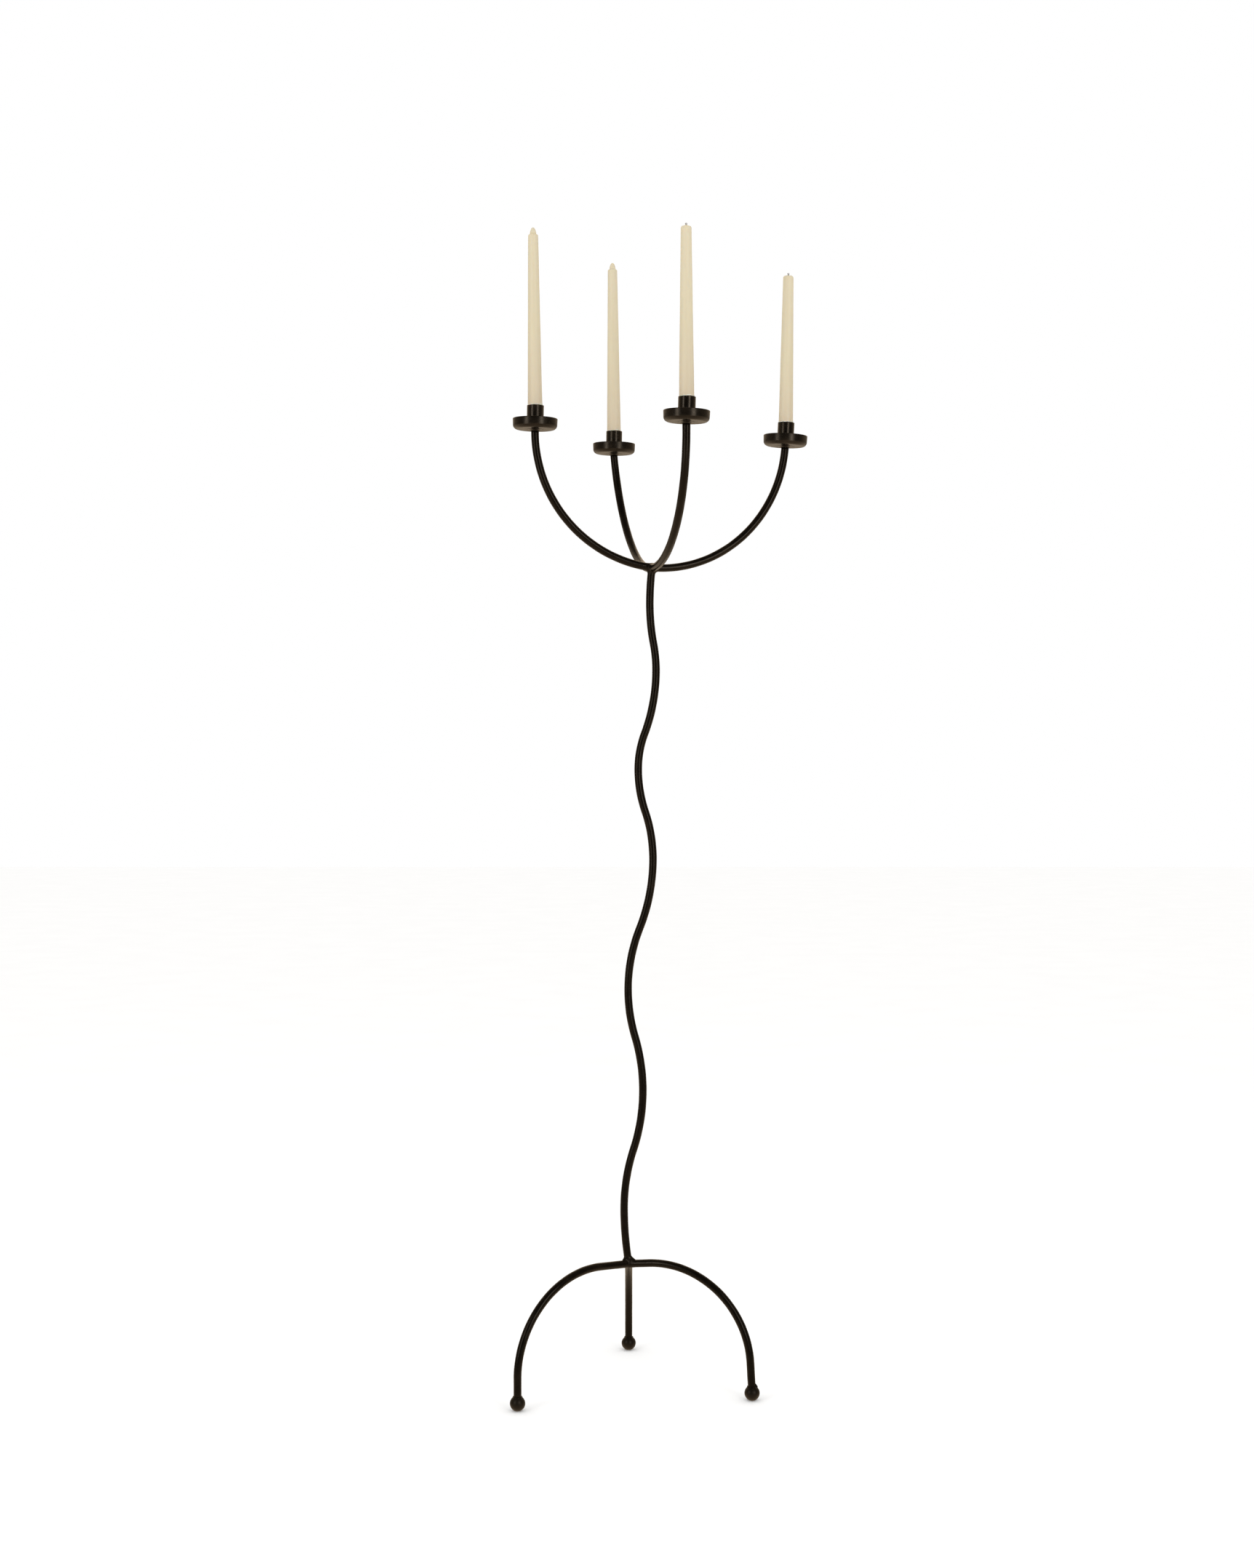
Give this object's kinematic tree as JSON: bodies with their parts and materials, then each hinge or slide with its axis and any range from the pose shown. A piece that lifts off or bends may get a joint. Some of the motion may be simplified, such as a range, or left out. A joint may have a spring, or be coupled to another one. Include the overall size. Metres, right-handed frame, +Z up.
{
  "type": "floor candelabrum",
  "caption": "Free-standing bent-rod floor candelabrum: wavy stem on bent legs with ball feet, curved arms carrying drip pans, cups and taper candles.",
  "frame": {"origin": "on the floor, under the middle of the whole", "axes": "+Z up, +Y to the rear leg, -Y to the front, +X to the viewer's right"},
  "size_m": [0.4407, 0.4498, 1.7202],
  "materials": {
    "black_iron": "satin black lacquer over forged rod and pressed sheet, slightly brown, with soft highlights",
    "weld_iron": "the same black lacquer over rough weld metal",
    "steel": "plain bright screw",
    "wax": "cream wax, soft sheen, faint vertical streaks",
    "cotton": "braided cotton, charred at the end"
  },
  "bodies": {
    "stand": {"stem": "black_iron", "crown_weld": "weld_iron", "base_weld": "weld_iron", "leg_left": "black_iron", "ball_foot_left": "black_iron", "foot_weld_left": "weld_iron", "leg_right": "black_iron", "ball_foot_right": "black_iron", "foot_weld_right": "weld_iron", "leg_rear": "black_iron", "ball_foot_rear": "black_iron", "foot_weld_rear": "weld_iron", "arm_left": "black_iron", "collar_left": "black_iron", "drip_pan_left": "black_iron", "candle_cup_left": "black_iron", "cup_screw_left": "steel", "arm_rear": "black_iron", "collar_rear": "black_iron", "drip_pan_rear": "black_iron", "candle_cup_rear": "black_iron", "cup_screw_rear": "steel", "arm_front": "black_iron", "collar_front": "black_iron", "drip_pan_front": "black_iron", "candle_cup_front": "black_iron", "cup_screw_front": "steel", "arm_right": "black_iron", "collar_right": "black_iron", "drip_pan_right": "black_iron", "candle_cup_right": "black_iron", "cup_screw_right": "steel"},
    "left_candle": {"candle_left": "wax", "wick_left": "cotton"},
    "rear_candle": {"candle_rear": "wax", "wick_rear": "cotton"},
    "front_candle": {"candle_front": "wax", "wick_front": "cotton"},
    "right_candle": {"candle_right": "wax", "wick_right": "cotton"}
  },
  "joints": [
    {"name": "left_candle_lift", "type": "slide", "parent": "stand", "child": "left_candle", "axis": [0.0192, 0, 0.9998], "range_m": [0, 0.06]},
    {"name": "rear_candle_lift", "type": "slide", "parent": "stand", "child": "rear_candle", "axis": [0.014, 0, 0.9999], "range_m": [0, 0.06]},
    {"name": "front_candle_lift", "type": "slide", "parent": "stand", "child": "front_candle", "axis": [0.0262, 0, 0.9997], "range_m": [0, 0.06]},
    {"name": "right_candle_lift", "type": "slide", "parent": "stand", "child": "right_candle", "axis": [0.0454, 0, 0.999], "range_m": [0, 0.06]}
  ]
}
